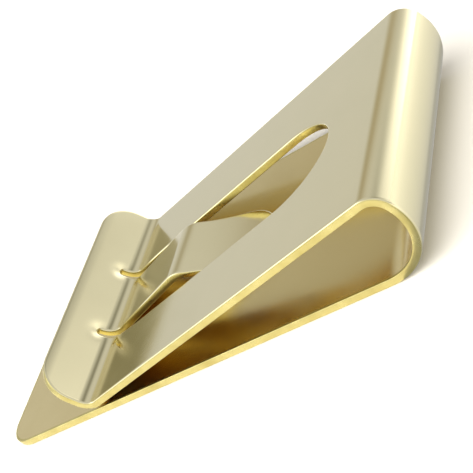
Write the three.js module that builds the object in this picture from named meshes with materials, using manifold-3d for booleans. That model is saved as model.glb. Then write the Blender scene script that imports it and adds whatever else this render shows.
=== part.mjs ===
// Money clip: one strip of gold-plated spring brass, cut and bent into a clip.
// Frame: +X from the free end of the back to the spring bend, +Y across the strip, +Z up from
// the back to the leaf. The origin is the bottom centre, on the outer face of the back.
// The strip is one piece of metal. It is modelled as the zones that stay rigid, divided at the
// lines where it flexes or folds, with a narrow gap at each line.

import * as THREE from 'three';
import { mergeVertices } from 'three/addons/utils/BufferGeometryUtils.js';
import Module from 'manifold-3d';

const wasm = await Module();
wasm.setup();

// Driving dimensions, in millimetres and degrees. Radii and lengths are those of the show face:
// the underside of the back, the outside of the bend, and the top of the leaf, lip and tongue.
const CLIP_LENGTH = 50.4;
const CLIP_WIDTH = 25;
const SHEET = 0.75;
const GAP = 0.3;               // clearance at each line between two zones
const CONTACT_GAP = 0.2;       // clearance where the closed clip rests on its back
const TIP_GAP = 0.4;           // clearance between the tongue's tip and the back

const BACK_CORNER_RADIUS = 3.3;
const LOWER_BEND_RADIUS = 4.92;
const LOWER_BEND_TURN = 111;
const UPPER_BEND_RADIUS = 2;
const LEAF_SLOPE = 10.3;       // fall of the leaf towards the free end
const VALLEY_RADIUS = 1.3;
const LIP_SLOPE = 64;
const LIP_LENGTH = 4.2;
const LIP_CORNER_RADIUS = 3.3;

const WINDOW_WIDTH = 9.7;
const WINDOW_NOSE_LENGTH = 6;  // length of the half ellipse that ends the window
const BRIDGE_LENGTH = 5.45;    // leaf left whole between the bend and the window

const TONGUE_WIDTH = 6.8;
const TONGUE_RISE = 15.6;
const TONGUE_RISE_LENGTH = 8.7;
const TONGUE_CREST_RADIUS = 3;
const TONGUE_FALL = 23;
const TONGUE_CURL_RADIUS = 25;
const TONGUE_CURL_TURN = 19;

const ARC_STEP = 8;            // largest turn between two facets of a bend
const CORNER_STEPS = 8;
const MIN_STATION = 0.02;      // shortest step between two places along a bend
const WELD = 1e-4;             // distance below which two corners are one
const CUTTER_DEPTH = 8;

const GOLD = { color: 0xd8bf7a, roughness: 0.18, metalness: 1 };

const radians = THREE.MathUtils.degToRad;

// A path in the X-Z plane, made of straight and round legs. The sheet lies on its left side
// (side = 1) or on its right side (side = -1).
const line = (length) => ({ length, curvature: 0 });
const arc = (radius, turn) => ({
  length: radius * radians(Math.abs(turn)),
  curvature: Math.sign(turn) / radius,
});

class SheetPath {
  constructor(x, z, heading, side, legs) {
    this.side = side;
    this.legs = [];
    let start = { x, z, heading: radians(heading), s: 0 };
    for (const leg of legs) {
      const placed = { ...leg, start };
      this.legs.push(placed);
      start = this.along(placed, leg.length);
    }
    this.length = start.s;
  }

  along(leg, distance) {
    const { x, z, heading, s } = leg.start;
    const k = leg.curvature;
    const turned = heading + k * distance;
    const dx = k ? (Math.sin(turned) - Math.sin(heading)) / k : distance * Math.cos(heading);
    const dz = k ? (Math.cos(heading) - Math.cos(turned)) / k : distance * Math.sin(heading);
    return { x: x + dx, z: z + dz, heading: turned, s: s + distance };
  }

  at(s) {
    const leg = this.legs.findLast((each) => each.start.s <= s) ?? this.legs[0];
    return this.along(leg, s - leg.start.s);
  }

  // The distance along the path at which a leg begins; legs are counted from zero.
  legStart(index) {
    return index < this.legs.length ? this.legs[index].start.s : this.length;
  }

  stations(from, to) {
    const inside = [];
    for (const leg of this.legs) {
      const turn = Math.abs(leg.curvature) * leg.length;
      const steps = leg.curvature ? Math.ceil(turn / radians(ARC_STEP)) : 1;
      for (let i = 0; i <= steps; i += 1) {
        inside.push(leg.start.s + (leg.length * i) / steps);
      }
    }
    const kept = inside.filter((s, i) => s > from + MIN_STATION && s < to - MIN_STATION
      && (i === 0 || s - inside[i - 1] > MIN_STATION));
    return [from, ...kept, to];
  }

  // The outline of the sheet between two distances along the path.
  section(from, to) {
    const show = this.stations(from, to).map((s) => this.at(s));
    const back = show.map(({ x, z, heading }) => new THREE.Vector2(
      x - this.side * SHEET * Math.sin(heading),
      z + this.side * SHEET * Math.cos(heading),
    ));
    return new THREE.Shape([...show.map(({ x, z }) => new THREE.Vector2(x, z)), ...back.reverse()]);
  }
}

// The solid of an X-Z outline between two places across the strip.
function acrossStrip(shape, yLow, yHigh) {
  const geometry = new THREE.ExtrudeGeometry(shape, { depth: yHigh - yLow, bevelEnabled: false });
  return geometry.rotateX(Math.PI / 2).translate(0, yHigh, 0);
}

// The solid of a flat outline, from z = low to z = high.
function upright(shape, low, high) {
  const options = { depth: high - low, bevelEnabled: false, curveSegments: CORNER_STEPS };
  return new THREE.ExtrudeGeometry(shape, options).translate(0, 0, low);
}

// A flat outline from x = 0 to x = length, with its two far corners rounded.
function tabOutline(length, width, radius) {
  const half = width / 2;
  const shape = new THREE.Shape();
  shape.moveTo(0, -half);
  shape.lineTo(length - radius, -half);
  shape.absarc(length - radius, -half + radius, radius, -Math.PI / 2, 0, false);
  shape.absarc(length - radius, half - radius, radius, 0, Math.PI / 2, false);
  shape.lineTo(0, half);
  return shape;
}

// The outline of the window: straight sides, and a half ellipse at the far end.
function windowOutline(length) {
  const half = WINDOW_WIDTH / 2;
  const side = length - WINDOW_NOSE_LENGTH;
  const shape = new THREE.Shape();
  shape.moveTo(0, -half);
  shape.lineTo(side, -half);
  shape.absellipse(side, 0, WINDOW_NOSE_LENGTH, half, -Math.PI / 2, Math.PI / 2, false);
  shape.lineTo(0, half);
  return shape;
}

function toSolid(geometry) {
  const bare = geometry.index ? geometry.toNonIndexed() : geometry.clone();
  bare.deleteAttribute('normal');
  bare.deleteAttribute('uv');
  const merged = mergeVertices(bare, WELD);
  return new wasm.Manifold(new wasm.Mesh({
    numProp: 3,
    vertProperties: new Float32Array(merged.attributes.position.array),
    triVerts: new Uint32Array(merged.index.array),
  }));
}

function toGeometry(solid) {
  const { vertProperties, triVerts } = solid.getMesh();
  const geometry = new THREE.BufferGeometry();
  geometry.setAttribute('position', new THREE.BufferAttribute(vertProperties, 3));
  geometry.setIndex(new THREE.BufferAttribute(triVerts, 1));
  return geometry;
}

// The strip's own path, from the free end of the back to the end of the lip.
const upperBendTurn = 180 + LEAF_SLOPE - LOWER_BEND_TURN;
const halfWidth = CLIP_WIDTH / 2;
const freeEnd = -CLIP_LENGTH / 2;
const bendStart = CLIP_LENGTH / 2 - LOWER_BEND_RADIUS;
const backLength = bendStart - freeEnd;

const spring = [arc(LOWER_BEND_RADIUS, LOWER_BEND_TURN), arc(UPPER_BEND_RADIUS, upperBendTurn)];
const springPath = new SheetPath(freeEnd, 0, 0, 1, [line(backLength), ...spring]);
const leafStart = springPath.length;
const leafHead = springPath.at(leafStart);

// The leaf is as long as it takes for the underside of the valley to rest on the back.
const valleyFloor = 2 * SHEET + CONTACT_GAP;
const valleyRound = VALLEY_RADIUS * (1 - Math.cos(radians(LEAF_SLOPE)));
const leafLength = (leafHead.z - valleyFloor - valleyRound) / Math.sin(radians(LEAF_SLOPE));

const strip = new SheetPath(freeEnd, 0, 0, 1, [
  line(backLength),
  ...spring,
  line(leafLength),
  arc(VALLEY_RADIUS, -(LEAF_SLOPE + LIP_SLOPE)),
  line(LIP_LENGTH),
]);
const lipStart = strip.legStart(5);
const bendMiddle = (strip.legStart(1) + leafStart) / 2;
const windowStart = leafStart + BRIDGE_LENGTH;

// The tongue's path, from the foot of the lip through the valley to the free tip.
const lipFoot = strip.at(lipStart);
const tongueLegs = (fallLength) => [
  arc(VALLEY_RADIUS, LIP_SLOPE + TONGUE_RISE),
  line(TONGUE_RISE_LENGTH),
  arc(TONGUE_CREST_RADIUS, -(TONGUE_RISE + TONGUE_FALL)),
  line(fallLength),
  arc(TONGUE_CURL_RADIUS, TONGUE_CURL_TURN),
];
const tonguePath = (fallLength) => new SheetPath(
  lipFoot.x, lipFoot.z, -LIP_SLOPE, -1, tongueLegs(fallLength));
const shortTongue = tonguePath(0);
const tipDrop = shortTongue.at(shortTongue.length).z - (2 * SHEET + TIP_GAP);
const tongue = tonguePath(tipDrop / Math.sin(radians(TONGUE_FALL)));

function backPlate() {
  const outline = tabOutline(backLength - GAP / 2, CLIP_WIDTH, BACK_CORNER_RADIUS);
  return upright(outline, 0, SHEET).rotateZ(Math.PI).translate(bendStart - GAP / 2, 0, 0);
}

function bendHalf(from, to) {
  return acrossStrip(strip.section(from + GAP / 2, to - GAP / 2), -halfWidth, halfWidth);
}

function leafBridge() {
  return acrossStrip(strip.section(leafStart + GAP / 2, windowStart - GAP / 2), -halfWidth, halfWidth);
}

// The rail on one side of the window: side is -1 or 1. The window is cut square to the leaf.
function rail(side) {
  const outline = strip.section(windowStart + GAP / 2, lipStart - GAP / 2);
  const blank = acrossStrip(outline, Math.min(0, side * halfWidth), Math.max(0, side * halfWidth));
  const reach = leafLength + CUTTER_DEPTH;
  const nose = strip.at(windowStart);
  const cutter = upright(windowOutline(reach), -CUTTER_DEPTH / 2, CUTTER_DEPTH / 2)
    .translate(-reach, 0, 0)
    .rotateY(-radians(LEAF_SLOPE))
    .translate(nose.x, 0, nose.z);
  return toGeometry(toSolid(blank).subtract(toSolid(cutter)));
}

function lip() {
  const outline = tabOutline(LIP_LENGTH - GAP / 2, CLIP_WIDTH, LIP_CORNER_RADIUS);
  const foot = strip.at(lipStart + GAP / 2);
  return upright(outline, 0, SHEET).rotateY(-foot.heading).translate(foot.x, 0, foot.z);
}

function tongueZone(from, to) {
  return acrossStrip(tongue.section(from, to), -TONGUE_WIDTH / 2, TONGUE_WIDTH / 2);
}

function tongueRoot() {
  return tongueZone(GAP / 2, tongue.legStart(1) - GAP / 2);
}

function tongueArm() {
  return tongueZone(tongue.legStart(1) + GAP / 2, tongue.legStart(3) - GAP / 2);
}

// The falling end of the tongue, with a round tip.
function tongueTip() {
  const end = tongue.at(tongue.length);
  const blank = tongueZone(tongue.legStart(3) + GAP / 2, tongue.length);
  const reach = 2 * (tongue.length - tongue.legStart(3));
  const round = upright(tabOutline(reach, TONGUE_WIDTH + GAP, TONGUE_WIDTH / 2), 0, leafHead.z)
    .translate(end.x - reach, 0, 0);
  return toGeometry(toSolid(blank).intersect(toSolid(round)));
}

const clip = new THREE.Group();

function addZone(name, geometry) {
  const mesh = new THREE.Mesh(geometry, new THREE.MeshStandardMaterial(GOLD));
  mesh.name = name;
  clip.add(mesh);
}

addZone('back_plate', backPlate());
addZone('bend_lower', bendHalf(strip.legStart(1), bendMiddle));
addZone('bend_upper', bendHalf(bendMiddle, leafStart));
addZone('leaf_bridge', leafBridge());
addZone('rail_near', rail(-1));
addZone('rail_far', rail(1));
addZone('lip', lip());
addZone('tongue_root', tongueRoot());
addZone('tongue_arm', tongueArm());
addZone('tongue_tip', tongueTip());

export default clip;
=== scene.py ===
"""Looks of the money clip: one strip of polished gold-plated sheet, folded, with a cut-out tongue.

Each visual piece is a region of the flat strip, cut out in the strip's own developed length and
width, given rounded edges, and then laid along the bent path of the sheet. All sizes are in
metres and all angles in degrees.
"""
import math

import bmesh
import bpy
from mathutils import Matrix, Vector
from mathutils.geometry import delaunay_2d_cdt


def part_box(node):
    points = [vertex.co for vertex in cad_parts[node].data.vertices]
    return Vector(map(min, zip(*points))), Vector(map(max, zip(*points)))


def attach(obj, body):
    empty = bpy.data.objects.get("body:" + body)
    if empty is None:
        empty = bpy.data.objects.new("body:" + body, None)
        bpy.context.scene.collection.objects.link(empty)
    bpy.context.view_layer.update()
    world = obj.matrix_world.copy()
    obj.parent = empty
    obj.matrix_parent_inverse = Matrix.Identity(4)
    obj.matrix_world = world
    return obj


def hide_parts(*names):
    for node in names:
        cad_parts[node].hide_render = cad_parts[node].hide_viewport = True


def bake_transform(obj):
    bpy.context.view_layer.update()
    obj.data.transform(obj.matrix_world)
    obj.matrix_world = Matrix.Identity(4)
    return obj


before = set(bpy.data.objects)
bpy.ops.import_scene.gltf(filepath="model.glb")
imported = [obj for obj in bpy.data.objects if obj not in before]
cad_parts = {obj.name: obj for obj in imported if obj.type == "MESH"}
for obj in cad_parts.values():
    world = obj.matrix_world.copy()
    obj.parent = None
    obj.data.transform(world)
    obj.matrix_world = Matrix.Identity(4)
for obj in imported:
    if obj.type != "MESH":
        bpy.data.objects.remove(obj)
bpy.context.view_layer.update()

MM = 0.001
ZONE_GAP = 0.3 * MM               # the CAD's clearance at each line between two zones

# Shape of the bent strip that the boxes of the CAD zones don't give.
LOWER_BEND_TURN = 111
UPPER_BEND_RADIUS = 2 * MM
LEAF_SLOPE = 10.3
VALLEY_RADIUS = 1.3 * MM
LIP_SLOPE = 64
LIP_LENGTH = 4.2 * MM
LIP_CURL_RADIUS = 5 * MM          # the last part of the lip flares outwards
LIP_CURL_TURN = 13
LIP_CORNER_RADIUS = 3.3 * MM
BACK_CORNER_RADIUS = 3.3 * MM
BRIDGE_LENGTH = 5.45 * MM         # leaf left whole between the bend and the window
WINDOW_HALF_WIDTH = 4.78 * MM
WINDOW_NOSE_LENGTH = 6 * MM       # length of the half ellipse that ends the window
SLOT_WIDTH = 0.6 * MM             # at the slots' round ends; they widen towards the window
SLOT_MIDDLE = 4.05 * MM           # of the slots' ends, from the middle of the strip
SLOT_OVERRUN = 0.5 * MM           # how far the slots beside the tongue run into the lip
SLOT_FLARE_LENGTH = 6 * MM
DENT_DEPTH = 0.12 * MM            # of the metal drawn in at the ends of the slots
DENT_SIZE = 0.75 * MM
DENT_REACH = 3 * DENT_SIZE        # beyond it a dent is too shallow to see
DENT_STEP = 0.16 * MM
TIP_GAP = 0.4 * MM                # clearance between the tongue's tip and the back
TIP_ROUNDNESS = 0.999             # tip's corner radius over half its width, so the two don't meet
TONGUE_RISE = 15.6
TONGUE_RISE_LENGTH = 8.7 * MM
TONGUE_CREST_RADIUS = 3 * MM
TONGUE_FALL = 23
TONGUE_CURL_RADIUS = 25 * MM
TONGUE_CURL_TURN = 19

# The cut edges: rounded more on the show face, where the strip was polished.
SHOW_ROUND = 0.2 * MM
INNER_ROUND = 0.1 * MM
ROUND_STEPS = 5
BUFFED_BANDS = 4                  # strips of the rounding that are as bright as the show face
SUPPORT = 0.07 * MM               # flat margin beside a rounded edge, which keeps its shading clean
INSET = SHOW_ROUND + SUPPORT      # from a cut to where the flat mesh begins
SEAM_MARGIN = 0.3 * MM            # straight metal kept on both sides of a seam between two pieces

# Fineness of the meshes.
BEND_STEP = 2
CORNER_STEP = 5
FLARE_STEPS = 12
NOSE_STEPS = 48
GRID = 2.5 * MM

# Tolerances.
SAME_STATION = 0.001 * MM         # places along a path closer than this are one
ON_LINE = 0.0001 * MM             # how far off a line a point may lie and be on it
PAST_END = 1e-4                   # how far past a line's end it may lie, in lengths of the line
ONE_STEP = 1 + 1e-3               # the furthest apart that two neighbours on a cut are, in points
CUTTING_SCALE = 1 / MM            # regions are cut up in millimetres
CUTTING_MERGE = 5e-5              # in millimetres, points closer than this are one

# The legs of the two paths, in order, and the metals of a piece.
BACK, LOWER_BEND, UPPER_BEND, LEAF, VALLEY, LIP, LIP_CURL = range(7)
FOOT, RISE, CREST, FALL, TIP = range(5)
FACE_METAL, EDGE_METAL, INNER_METAL = range(3)


def line(length):
    return length, 0.0


def arc(radius, turn):
    return radius * math.radians(abs(turn)), math.copysign(1 / radius, turn)


class SheetPath:
    """A path in the X-Z plane with the sheet on its left side (side 1) or its right (side -1)."""

    def __init__(self, x, z, heading, side, legs):
        self.side = side
        self.legs = []
        s = 0.0
        heading = math.radians(heading)
        for length, curvature in legs:
            self.legs.append((s, length, curvature, x, z, heading))
            x, z, heading = self.advance(self.legs[-1], length)
            s += length
        self.length = s

    @staticmethod
    def advance(leg, distance):
        _, _, curvature, x, z, heading = leg
        turned = heading + curvature * distance
        if not curvature:
            return x + distance * math.cos(heading), z + distance * math.sin(heading), turned
        x += (math.sin(turned) - math.sin(heading)) / curvature
        z += (math.cos(heading) - math.cos(turned)) / curvature
        return x, z, turned

    def at(self, s):
        """The place and heading of the path at the distance s along it."""
        begun = [leg for leg in self.legs if leg[0] <= s]
        leg = begun[-1] if begun else self.legs[0]
        return self.advance(leg, s - leg[0])

    def start(self, index):
        return self.legs[index][0]

    def point(self, s, y, depth):
        """The place of a point of the sheet, depth below its show face."""
        x, z, heading = self.at(s)
        inward = self.side * depth
        return Vector((x - inward * math.sin(heading), y, z + inward * math.cos(heading)))

    def stations(self, low, high):
        """Distances along the path between which the sheet is near enough flat."""
        found = [low, high]
        for s, length, curvature, *_ in self.legs:
            turn = math.degrees(abs(curvature) * length)
            steps = math.ceil(turn / BEND_STEP) if curvature else max(1, round(length / GRID))
            found += [s + length * i / steps for i in range(steps + 1)]
        kept = []
        for s in sorted(s for s in found if low <= s <= high):
            if not kept or s - kept[-1] > SAME_STATION:
                kept.append(s)
        return kept


# The sheet and its paths, from the boxes of the CAD zones.
plate_low, plate_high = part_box("back_plate")
rail_low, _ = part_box("rail_near")
sheet = plate_high.z - plate_low.z
half_width = plate_high.y
free_end = plate_low.x
bend_start = plate_high.x + ZONE_GAP / 2
lower_bend_radius = -free_end - bend_start
back_length = bend_start - free_end
valley_floor = rail_low.z + sheet

spring_legs = [
    line(back_length),
    arc(lower_bend_radius, LOWER_BEND_TURN),
    arc(UPPER_BEND_RADIUS, 180 + LEAF_SLOPE - LOWER_BEND_TURN),
]
spring = SheetPath(free_end, 0, 0, 1, spring_legs)
leaf_start = spring.length
leaf_drop = spring.at(leaf_start)[1] - valley_floor
leaf_drop -= VALLEY_RADIUS * (1 - math.cos(math.radians(LEAF_SLOPE)))
strip = SheetPath(free_end, 0, 0, 1, spring_legs + [
    line(leaf_drop / math.sin(math.radians(LEAF_SLOPE))),
    arc(VALLEY_RADIUS, -(LEAF_SLOPE + LIP_SLOPE)),
    line(LIP_LENGTH - arc(LIP_CURL_RADIUS, LIP_CURL_TURN)[0]),
    arc(LIP_CURL_RADIUS, LIP_CURL_TURN),
])
lip_foot = strip.start(LIP)
foot_x, foot_z, _ = strip.at(lip_foot)
slot_end = lip_foot + SLOT_OVERRUN


def tongue_path(fall):
    return SheetPath(foot_x, foot_z, -LIP_SLOPE, -1, [
        arc(VALLEY_RADIUS, LIP_SLOPE + TONGUE_RISE),
        line(TONGUE_RISE_LENGTH),
        arc(TONGUE_CREST_RADIUS, -(TONGUE_RISE + TONGUE_FALL)),
        line(fall),
        arc(TONGUE_CURL_RADIUS, TONGUE_CURL_TURN),
    ])


short_tongue = tongue_path(SAME_STATION)
tip_drop = short_tongue.at(short_tongue.length)[1] - (2 * sheet + TIP_GAP)
tongue = tongue_path(tip_drop / math.sin(math.radians(TONGUE_FALL)))
tongue_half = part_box("tongue_root")[1].y
tongue_seam = tongue.start(RISE) + SEAM_MARGIN


# Outlines in the developed strip. A cut is a list of (place, direction into the metal).

def arc_cut(centre, radius, start, end, inward):
    """Round part of a cut: inward is 1 where the metal is inside the round, -1 outside."""
    steps = max(2, math.ceil(abs(end - start) / CORNER_STEP))
    cut = []
    for i in range(steps + 1):
        angle = math.radians(start + (end - start) * i / steps)
        out = Vector((math.cos(angle), math.sin(angle)))
        cut.append((centre + radius * out, -inward * out))
    return cut


def tab_cut(root, end, half, radius):
    """The cut round a tab from s = root to s = end with two round corners at its end."""
    turn = 1 if end > root else -1
    corner = end - turn * radius
    near = Vector((corner, -half + radius))
    far = Vector((corner, half - radius))
    cut = [(Vector((root, -half)), Vector((0, 1)))]
    if turn > 0:
        cut += arc_cut(near, radius, -90, 0, 1) + arc_cut(far, radius, 0, 90, 1)
    else:
        cut += arc_cut(near, radius, 270, 180, 1) + arc_cut(far, radius, 180, 90, 1)
    return cut + [(Vector((root, half)), Vector((0, -1)))]


def flare_cut(start, y_start, y_end, length, outward):
    """One side of a slot as it widens, along -s from its round end. The metal is outwards of
    the rails' sides (outward 1) and inwards of the tongue's sides (outward -1)."""
    cut = []
    for i in range(1, FLARE_STEPS + 1):
        t = i / FLARE_STEPS
        y = y_start + (y_end - y_start) * t * t * (3 - 2 * t)
        slope = abs(y_end - y_start) * 6 * t * (1 - t) / length
        into_metal = Vector((slope, outward * math.copysign(1, y_end))).normalized()
        cut.append((Vector((start - t * length, y)), into_metal))
    return cut


def nose_cut(nose):
    """The half ellipse that ends the window, from its near side to its far side."""
    centre = Vector((nose + WINDOW_NOSE_LENGTH, 0))
    cut = []
    for i in range(NOSE_STEPS + 1):
        angle = math.radians(270 - 180 * i / NOSE_STEPS)
        x, y = math.cos(angle), math.sin(angle)
        into_metal = Vector((x / WINDOW_NOSE_LENGTH, y / WINDOW_HALF_WIDTH)).normalized()
        place = centre + Vector((x * WINDOW_NOSE_LENGTH, y * WINDOW_HALF_WIDTH))
        cut.append((place, into_metal))
    return cut


def window_cut(root, nose):
    """The cut of the window round the tongue: two slots that widen and join at the nose."""
    slot = SLOT_WIDTH / 2
    end = slot_end - slot
    outer, inner = SLOT_MIDDLE + slot, SLOT_MIDDLE - slot
    taper = end - root
    cut = list(reversed(flare_cut(end, -inner, -tongue_half, taper, -1)))
    cut += arc_cut(Vector((end, -SLOT_MIDDLE)), slot, 90, -90, -1)
    cut += flare_cut(end, -outer, -WINDOW_HALF_WIDTH, SLOT_FLARE_LENGTH, 1)
    cut += nose_cut(nose)
    cut += list(reversed(flare_cut(end, outer, WINDOW_HALF_WIDTH, SLOT_FLARE_LENGTH, 1)))
    cut += arc_cut(Vector((end, SLOT_MIDDLE)), slot, 90, -90, -1)
    return cut + flare_cut(end, inner, tongue_half, taper, -1)


def edge_profile():
    """The section of a cut edge, from the show face to the inner face, as (inset, depth)."""
    profile = [(INSET, 0.0)]
    for i in range(ROUND_STEPS + 1):
        a = math.pi / 2 * i / ROUND_STEPS
        profile.append((SHOW_ROUND * (1 - math.sin(a)), SHOW_ROUND * (1 - math.cos(a))))
    for i in range(ROUND_STEPS + 1):
        a = math.pi / 2 * i / ROUND_STEPS
        profile.append((INNER_ROUND * (1 - math.cos(a)), sheet - INNER_ROUND * (1 - math.sin(a))))
    return profile + [(INSET, sheet)]


PROFILE = edge_profile()


def inset_points(cut):
    return [place + INSET * inward for place, inward in cut]


# Meshes. A region of the strip is cut up flat, laid along the path and closed at its rim.

def inside(point, loops):
    crossings = 0
    for loop in loops:
        for a, b in zip(loop, loop[1:] + loop[:1]):
            if (a.y > point.y) != (b.y > point.y):
                if point.x < a.x + (b.x - a.x) * (point.y - a.y) / (b.y - a.y):
                    crossings += 1
    return crossings % 2 == 1


def grid_lines(loops, stations):
    low = min(p.y for loop in loops for p in loop)
    high = max(p.y for loop in loops for p in loop)
    lines = [((s, low), (s, high)) for s in stations]
    columns = math.ceil((high - low) / GRID)
    for i in range(1, columns):
        y = low + (high - low) * i / columns
        lines.append(((stations[0], y), (stations[-1], y)))
    return lines


def dent_lines():
    """Close grid lines round the ends of the slots, where the sheet is dented."""
    reach = DENT_REACH
    steps = math.ceil(reach / DENT_STEP)
    lines = []
    for side in (-1, 1):
        middle = side * SLOT_MIDDLE
        for i in range(-steps, steps + 1):
            offset = reach * i / steps
            lines.append(((slot_end + offset, middle - reach), (slot_end + offset, middle + reach)))
            lines.append(((slot_end - reach, middle + offset), (slot_end + reach, middle + offset)))
    return lines


def cut_up(loops, stations, extra_lines):
    """Triangles of the region inside the loops, divided at the stations and the extra lines."""
    places, edges = [], []
    for loop in loops:
        first = len(places)
        places += [p * CUTTING_SCALE for p in loop]
        edges += [(first + i, first + (i + 1) % len(loop)) for i in range(len(loop))]
    for a, b in grid_lines(loops, stations) + extra_lines:
        edges.append((len(places), len(places) + 1))
        places += [Vector(a) * CUTTING_SCALE, Vector(b) * CUTTING_SCALE]
    points, _, faces, *_ = delaunay_2d_cdt(places, edges, [], 0, CUTTING_MERGE)
    points = [p / CUTTING_SCALE for p in points]
    kept = [f for f in faces if inside(sum((points[i] for i in f), Vector((0, 0))) / 3, loops)]
    return points, kept


def along_cut(cut, point):
    """How far along the cut's inset line a point lies, and the direction into the metal there,
    or None if the point isn't on it."""
    line_points = inset_points(cut)
    for i, (a, b) in enumerate(zip(line_points, line_points[1:])):
        step = b - a
        t = (point - a).dot(step) / step.length_squared if step.length else 0
        if -PAST_END <= t <= 1 + PAST_END and (a + t * step - point).length < ON_LINE:
            inward = cut[i][1].lerp(cut[i + 1][1], min(1, max(0, t)))
            return i + t, inward.normalized()
    return None


def are_next(first, second):
    """Whether two rim columns are neighbours along one cut and not the two ends of a seam."""
    return first[0] == second[0] and abs(first[1] - second[1]) <= ONE_STEP


def border_of(faces):
    """The sides of the triangles that only one triangle has, in the triangle's own direction."""
    sides = dict.fromkeys((a, b) for f in faces for a, b in zip(f, f[1:] + f[:1]))
    return [(a, b) for a, b in sides if (b, a) not in sides]


def add_faces(bm, faces, show, inner):
    """The show face and the inner face of the sheet."""
    for f in faces:
        outside = bm.faces.new([show[i] for i in f])
        inside_face = bm.faces.new([inner[i] for i in reversed(f)])
        inside_face.material_index = INNER_METAL
        outside.smooth = inside_face.smooth = True


def add_columns(bm, cuts, points, rim, place, show, inner):
    """The points of the rounded edge at each rim point on a cut, from the show face inwards,
    with the cut's number and the column's position along it."""
    columns = {}
    for cut_index, cut in enumerate(cuts):
        found = [(along_cut(cut, points[i]), i) for i in rim]
        for (position, inward), i in [each for each in found if each[0]]:
            edge = points[i] - INSET * inward
            column = [show[i]]
            for inset, depth in PROFILE[1:-1]:
                column.append(bm.verts.new(place(*(edge + inset * inward), depth)))
            columns[i] = (cut_index, position, column + [inner[i]])
    return columns


def add_edge(bm, first, second):
    """The rounded edge between two neighbouring columns."""
    rows = zip(first, second)
    next_rows = zip(first[1:], second[1:])
    for band, ((p, q), (r, t)) in enumerate(zip(rows, next_rows)):
        face = bm.faces.new([q, p, r, t])
        face.smooth = True
        face.material_index = FACE_METAL if band < BUFFED_BANDS else EDGE_METAL


def add_seam(bm, a, b, columns, show, inner):
    """The flat end of the sheet between two rim points, and of the rounded edge beside them."""
    seam = bm.faces.new([show[b], show[a], inner[a], inner[b]])
    seam.smooth = False
    for i in (a, b):
        if i in columns:
            bm.faces.new(columns[i][2]).smooth = False


def link_object(name, data):
    thing = bpy.data.objects.new(name, data)
    bpy.context.scene.collection.objects.link(thing)
    return thing


def build_piece(name, cuts, loops, stations, place, extra_lines=()):
    """A closed mesh of the sheet inside the loops. The cuts get a rounded edge, and the rest of
    each loop is a seam, which gets a plain flat end."""
    points, faces = cut_up(loops, stations, list(extra_lines))
    bm = bmesh.new()
    used = sorted({i for f in faces for i in f})
    show = {i: bm.verts.new(place(*points[i], 0)) for i in used}
    inner = {i: bm.verts.new(place(*points[i], sheet)) for i in used}
    add_faces(bm, faces, show, inner)

    border = border_of(faces)
    rim = sorted({i for pair in border for i in pair})
    columns = add_columns(bm, cuts, points, rim, place, show, inner)
    for a, b in border:
        if a in columns and b in columns and are_next(columns[a], columns[b]):
            add_edge(bm, columns[a][2], columns[b][2])
        else:
            add_seam(bm, a, b, columns, show, inner)

    bmesh.ops.recalc_face_normals(bm, faces=bm.faces)
    for edge in bm.edges:
        edge.smooth = all(f.smooth for f in edge.link_faces)
    mesh = bpy.data.meshes.new(name)
    bm.to_mesh(mesh)
    bm.free()
    return link_object(name, mesh)


# The four pieces of the strip.

def back_sheet():
    seam = strip.start(LOWER_BEND) - SEAM_MARGIN
    cut = tab_cut(seam, 0, half_width, BACK_CORNER_RADIUS)
    stations = strip.stations(0, seam)
    piece = build_piece("back_sheet", [cut], [inset_points(cut)], stations, strip.point)
    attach(piece, "back")
    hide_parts("back_plate")
    return piece


def spring_bend():
    low = strip.start(LOWER_BEND) - SEAM_MARGIN
    high = strip.start(LEAF) + SEAM_MARGIN
    near = [(Vector((s, -half_width)), Vector((0, 1))) for s in (low, high)]
    far = [(Vector((s, half_width)), Vector((0, -1))) for s in (high, low)]
    loop = inset_points(near) + inset_points(far)
    stations = strip.stations(low, high)
    piece = build_piece("spring_bend", [near, far], [loop], stations, strip.point)
    bottom = strip.point(strip.start(LOWER_BEND), 0, sheet).z
    top = strip.point(high, 0, sheet).z
    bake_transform(piece)
    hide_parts("bend_lower", "bend_upper")
    return piece


def on_leaf(s, y, depth):
    """A point of the leaf's strip or of the tongue's root between the slots, with the dents."""
    across = (abs(y) - SLOT_MIDDLE) / DENT_SIZE
    along = (s - slot_end) / DENT_SIZE
    depth += DENT_DEPTH * math.exp(-across ** 2 - along ** 2)
    if abs(y) < SLOT_MIDDLE and lip_foot - tongue.start(CREST) < s < lip_foot:
        return tongue.point(lip_foot - s, y, depth)
    return strip.point(s, y, depth)


def leaf_sheet():
    """The leaf with its window, the lip, and the root of the tongue."""
    seam = strip.start(LEAF) + SEAM_MARGIN
    root = lip_foot - tongue_seam
    outer = tab_cut(seam, strip.length, half_width, LIP_CORNER_RADIUS)
    window = window_cut(root, leaf_start + BRIDGE_LENGTH)
    loops = [inset_points(outer), inset_points(window)]
    stations = sorted(strip.stations(seam, strip.length) + [root])
    piece = build_piece("leaf_sheet", [outer, window], loops, stations, on_leaf, dent_lines())
    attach(piece, "leaf")
    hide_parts("leaf_bridge", "rail_near", "rail_far", "lip", "tongue_root")
    return piece


def tongue_sheet():
    cut = tab_cut(tongue_seam, tongue.length, tongue_half, tongue_half * TIP_ROUNDNESS)
    stations = tongue.stations(tongue_seam, tongue.length)
    piece = build_piece("tongue_sheet", [cut], [inset_points(cut)], stations, tongue.point)
    root = tongue.point(tongue_seam, 0, sheet)
    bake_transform(piece)
    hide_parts("tongue_arm", "tongue_tip")
    return piece


# Materials.

HAZE_SPREAD = (0.3, 0.7)          # the noise values between which nearly all of the haze lies
GRAIN_STRETCH = (1, 3, 1)         # the grain runs along the strip
NOISE_DETAIL = 2.0


def new_material(name):
    material = bpy.data.materials.new(name)
    material.use_nodes = True
    nodes = material.node_tree.nodes
    return material, nodes, material.node_tree.links, nodes["Principled BSDF"]


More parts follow.
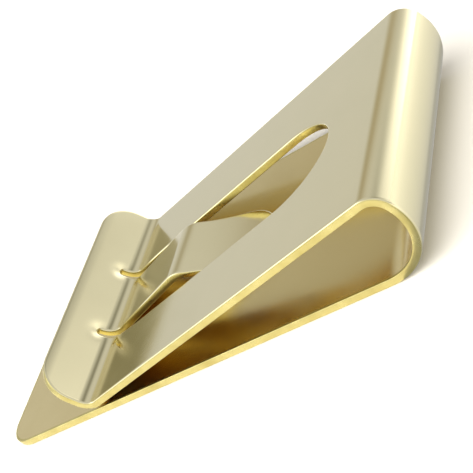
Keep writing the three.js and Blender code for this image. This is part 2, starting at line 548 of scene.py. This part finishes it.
def noise(nodes, links, coordinates, scale, stretch=(1, 1, 1)):
    mapping = nodes.new("ShaderNodeMapping")
    mapping.inputs["Scale"].default_value = stretch
    texture = nodes.new("ShaderNodeTexNoise")
    texture.inputs["Scale"].default_value = scale
    texture.inputs["Detail"].default_value = NOISE_DETAIL
    links.new(coordinates, mapping.inputs["Vector"])
    links.new(mapping.outputs["Vector"], texture.inputs["Vector"])
    return texture.outputs["Fac"]


def remap(nodes, links, value, source, target):
    node = nodes.new("ShaderNodeMapRange")
    for name, number in zip(("From Min", "From Max", "To Min", "To Max"), source + target):
        node.inputs[name].default_value = number
    links.new(value, node.inputs["Value"])
    return node.outputs["Result"]


def mix_colours(nodes, links, factor, first, second):
    node = nodes.new("ShaderNodeMix")
    node.data_type = "RGBA"
    node.inputs["A"].default_value = (*first, 1)
    node.inputs["B"].default_value = (*second, 1)
    links.new(factor, node.inputs["Factor"])
    return node.outputs["Result"]


def gold(name, tones, haze_scale, roughness, grain_scale, grain_height):
    """Gold plate whose tone and gloss drift over it, with a fine grain raised on its surface.
    The two scales are the noise's own, so a larger one makes a finer pattern."""
    material, nodes, links, shader = new_material(name)
    place = nodes.new("ShaderNodeTexCoord").outputs["Object"]
    haze = noise(nodes, links, place, haze_scale)
    grain = noise(nodes, links, place, grain_scale, GRAIN_STRETCH)
    shader.inputs["Metallic"].default_value = 1.0
    links.new(mix_colours(nodes, links, haze, *tones), shader.inputs["Base Color"])
    links.new(remap(nodes, links, haze, HAZE_SPREAD, roughness), shader.inputs["Roughness"])
    bump = nodes.new("ShaderNodeBump")
    bump.inputs["Strength"].default_value = 1.0
    bump.inputs["Distance"].default_value = grain_height
    links.new(grain, bump.inputs["Height"])
    links.new(bump.outputs["Normal"], shader.inputs["Normal"])
    return material


def gold_face():
    """The show side: buffed bright."""
    return gold("gold_face", tones=((0.86, 0.78, 0.50), (0.82, 0.755, 0.485)), haze_scale=260,
                roughness=(0.12, 0.17), grain_scale=9000, grain_height=0.0002 * MM)


def gold_inner():
    """The inner side, which the buffing wheel hardly reaches: hazier. Its tone is made deeper and
    warmer than the show side's as painted shade, for the dim, orange light inside the fold.
    """
    return gold("gold_inner", tones=((0.83, 0.70, 0.36), (0.78, 0.65, 0.32)), haze_scale=320,
                roughness=(0.16, 0.24), grain_scale=5000, grain_height=0.0006 * MM)


def gold_edge():
    """The sheared and tumbled edge of the strip: deeper in colour and duller than its faces."""
    return gold("gold_edge", tones=((0.82, 0.74, 0.34), (0.52, 0.43, 0.13)), haze_scale=600,
                roughness=(0.26, 0.36), grain_scale=4000, grain_height=0.002 * MM)


# Studio.

KEY_AZIMUTH = -95
KEY_ELEVATION = 53
KEY_STRENGTH = 3.3
KEY_SOFTNESS = 65                 # the angle that the lamp fills
DOME = (0.67, 0.67, 0.68)
# Soft panels and dark gaps of the light tent: where each is, by azimuth from +X towards +Y and by
# elevation, how far it spreads, and what it adds to the dome's colour or takes from it.
PANELS = [
    {"azimuth": 66, "elevation": -2, "wide": 15, "high": 22, "colour": (2.2, 2.2, 2.3)},
    {"azimuth": 26, "elevation": 12, "wide": 12, "high": 14, "colour": (0.7, 0.7, 0.66)},
    {"azimuth": 47, "elevation": 17, "wide": 5, "high": 12, "colour": (-0.15, -0.15, -0.17)},
    {"azimuth": 58, "elevation": 44, "wide": 19, "high": 16, "colour": (-0.42, -0.42, -0.46)},
    {"azimuth": 110, "elevation": 30, "wide": 20, "high": 9, "colour": (-0.22, -0.27, -0.38)},
    {"azimuth": 130, "elevation": 36, "wide": 12, "high": 10, "colour": (-0.15, -0.15, -0.18)},
    {"azimuth": -148, "elevation": 38, "wide": 24, "high": 16, "colour": (1.8, 1.8, 1.7)},
    {"azimuth": -100, "elevation": 25, "wide": 60, "high": 25, "colour": (0.4, 0.4, 0.36)},
]
FLOOR_REACH = 3                   # from the clip to each edge of the floor
FLOOR_COLOUR = (0.85, 0.81, 0.73, 1)
FLOOR_ROUGHNESS = 0.9
FLAG_HEIGHT = 0.1 * MM
FLAG_FADE = 30 * MM               # distance from the clip over which a flag's painted shadow brightens to full
FLAG_REACH = 150 * MM
SIDE_FLAG_REACH = 4 * half_width  # how far the side flag comes forward of the clip's middle
BACK_FLAG_GAP = 0.1 * MM
FLAG_SEAM = bend_start + 1 * MM   # where along X the two flags meet
CAMERA_PLACE = Vector((58.758, -69.705, 44.036)) * MM
CAMERA_TARGET = Vector((19.142, -19.359, 14.247)) * MM
CAMERA_ROLL = -45.965
CAMERA_SENSOR = 36                # in millimetres, as is the lens
CAMERA_LENS = 83.47
CAMERA_SHIFT = (-0.0051, -0.0064)
CAMERA_CLIP = (1 * MM, 100)
GLOSSY_BOUNCES = 12               # inside the fold, light is reflected many times


def math_node(nodes, links, operation, *values):
    node = nodes.new("ShaderNodeMath")
    node.operation = operation
    for socket, value in zip(node.inputs, values):
        if isinstance(value, (int, float)):
            socket.default_value = value
        else:
            links.new(value, socket)
    return node.outputs[0]


def soft_panel(nodes, links, azimuth, elevation, panel):
    """How strongly a soft-edged light panel on the dome shows in a direction, from 0 to 1."""
    across = math_node(nodes, links, "SUBTRACT", azimuth, panel["azimuth"])
    wrapped = math_node(nodes, links, "WRAP", across, 180, -180)
    u = math_node(nodes, links, "DIVIDE", wrapped, panel["wide"])
    rise = math_node(nodes, links, "SUBTRACT", elevation, panel["elevation"])
    v = math_node(nodes, links, "DIVIDE", rise, panel["high"])
    square = math_node(nodes, links, "ADD", math_node(nodes, links, "MULTIPLY", u, u),
                       math_node(nodes, links, "MULTIPLY", v, v))
    return math_node(nodes, links, "EXPONENT", math_node(nodes, links, "MULTIPLY", square, -1))


def in_degrees(nodes, links, angle):
    return math_node(nodes, links, "MULTIPLY", angle, 180 / math.pi)


def light_dome():
    """The tent round the clip: an even dome with the panels added one by one."""
    world = bpy.data.worlds.new("studio")
    bpy.context.scene.world = world
    world.use_nodes = True
    nodes, links = world.node_tree.nodes, world.node_tree.links
    direction = nodes.new("ShaderNodeTexCoord").outputs["Generated"]
    parts = nodes.new("ShaderNodeSeparateXYZ")
    links.new(direction, parts.inputs["Vector"])
    x, y, z = parts.outputs
    azimuth = in_degrees(nodes, links, math_node(nodes, links, "ARCTAN2", y, x))
    elevation = in_degrees(nodes, links, math_node(nodes, links, "ARCSINE", z))
    dome = nodes.new("ShaderNodeCombineXYZ")
    for socket, value in zip(dome.inputs, DOME):
        socket.default_value = value
    total = dome.outputs["Vector"]
    for panel in PANELS:
        strength = soft_panel(nodes, links, azimuth, elevation, panel)
        scaled = nodes.new("ShaderNodeVectorMath")
        scaled.operation = "MULTIPLY_ADD"
        scaled.inputs[0].default_value = panel["colour"]
        links.new(strength, scaled.inputs[1])
        links.new(total, scaled.inputs[2])
        total = scaled.outputs["Vector"]
    links.new(total, nodes["Background"].inputs["Color"])


def key_light(azimuth, elevation):
    """A soft distant lamp that whitens the floor and doesn't show in the polished metal."""
    data = bpy.data.lights.new("key", "SUN")
    data.energy = KEY_STRENGTH
    data.angle = math.radians(KEY_SOFTNESS)
    lamp = link_object("key", data)
    lamp.rotation_euler = (math.radians(90 - elevation), 0, math.radians(azimuth + 90))
    lamp.visible_glossy = False


def card(name, low, high, height, material):
    """A level rectangle between two corners, given as (x, y)."""
    corners = [(low[0], low[1]), (high[0], low[1]), (high[0], high[1]), (low[0], high[1])]
    mesh = bpy.data.meshes.new(name)
    mesh.from_pydata([(x, y, height) for x, y in corners], [], [(0, 1, 2, 3)])
    mesh.materials.append(material)
    flat = link_object(name, mesh)
    return flat


def floor(reach):
    material, _, _, shader = new_material("paper")
    shader.inputs["Base Color"].default_value = FLOOR_COLOUR
    shader.inputs["Roughness"].default_value = FLOOR_ROUGHNESS
    shader.inputs["Specular IOR Level"].default_value = 0.0
    card("floor", (-reach, -reach), (reach, reach), 0, material)


def flag(name, axis, start, brightness, power, low, high):
    """A graded card lying beside the clip, seen only in the metal, which it shades: a painted
    shadow, darkest next to the clip and brightening away from it, for the floor's shade round the
    clip.
    """
    material, nodes, links, shader = new_material(name)
    parts = nodes.new("ShaderNodeSeparateXYZ")
    links.new(nodes.new("ShaderNodeTexCoord").outputs["Object"], parts.inputs["Vector"])
    distance = remap(nodes, links, parts.outputs[axis], (start, start + FLAG_FADE), (0, 1))
    graded = math_node(nodes, links, "POWER", distance, power)
    strength = remap(nodes, links, graded, (0, 1), brightness)
    shader.inputs["Base Color"].default_value = (0, 0, 0, 1)
    shader.inputs["Specular IOR Level"].default_value = 0.0
    shader.inputs["Emission Color"].default_value = (1, 1, 1, 1)
    links.new(strength, shader.inputs["Emission Strength"])
    flat = card(name, low, high, FLAG_HEIGHT, material)
    flat.visible_camera = flat.visible_diffuse = flat.visible_shadow = False


def side_flag():
    """Beyond the bend."""
    flag("side_flag", "X", start=-free_end, brightness=(0.45, 1.3), power=0.35,
         low=(FLAG_SEAM, -SIDE_FLAG_REACH), high=(FLAG_REACH, FLAG_REACH))


def back_flag():
    """Behind the clip's far edge."""
    flag("back_flag", "Y", start=half_width, brightness=(0.40, 1.2), power=1.0,
         low=(-FLAG_REACH, half_width + BACK_FLAG_GAP), high=(FLAG_SEAM, FLAG_REACH))


def camera():
    data = bpy.data.cameras.new("camera")
    data.sensor_width = CAMERA_SENSOR
    data.lens = CAMERA_LENS
    data.shift_x, data.shift_y = CAMERA_SHIFT
    data.clip_start, data.clip_end = CAMERA_CLIP
    eye = link_object("camera", data)
    bpy.context.scene.camera = eye
    view = (CAMERA_TARGET - CAMERA_PLACE).to_track_quat("-Z", "Y").to_matrix()
    turned = view @ Matrix.Rotation(math.radians(CAMERA_ROLL), 3, "Z")
    eye.matrix_world = Matrix.Translation(CAMERA_PLACE) @ turned.to_4x4()


# In the order of FACE_METAL, EDGE_METAL and INNER_METAL.
metals = [gold_face(), gold_edge(), gold_inner()]
for piece in (back_sheet(), spring_bend(), leaf_sheet(), tongue_sheet()):
    for metal in metals:
        piece.data.materials.append(metal)

light_dome()
key_light(KEY_AZIMUTH, KEY_ELEVATION)
floor(FLOOR_REACH)
side_flag()
back_flag()
camera()
bpy.context.scene.view_settings.view_transform = "Standard"
bpy.context.scene.cycles.glossy_bounces = GLOSSY_BOUNCES
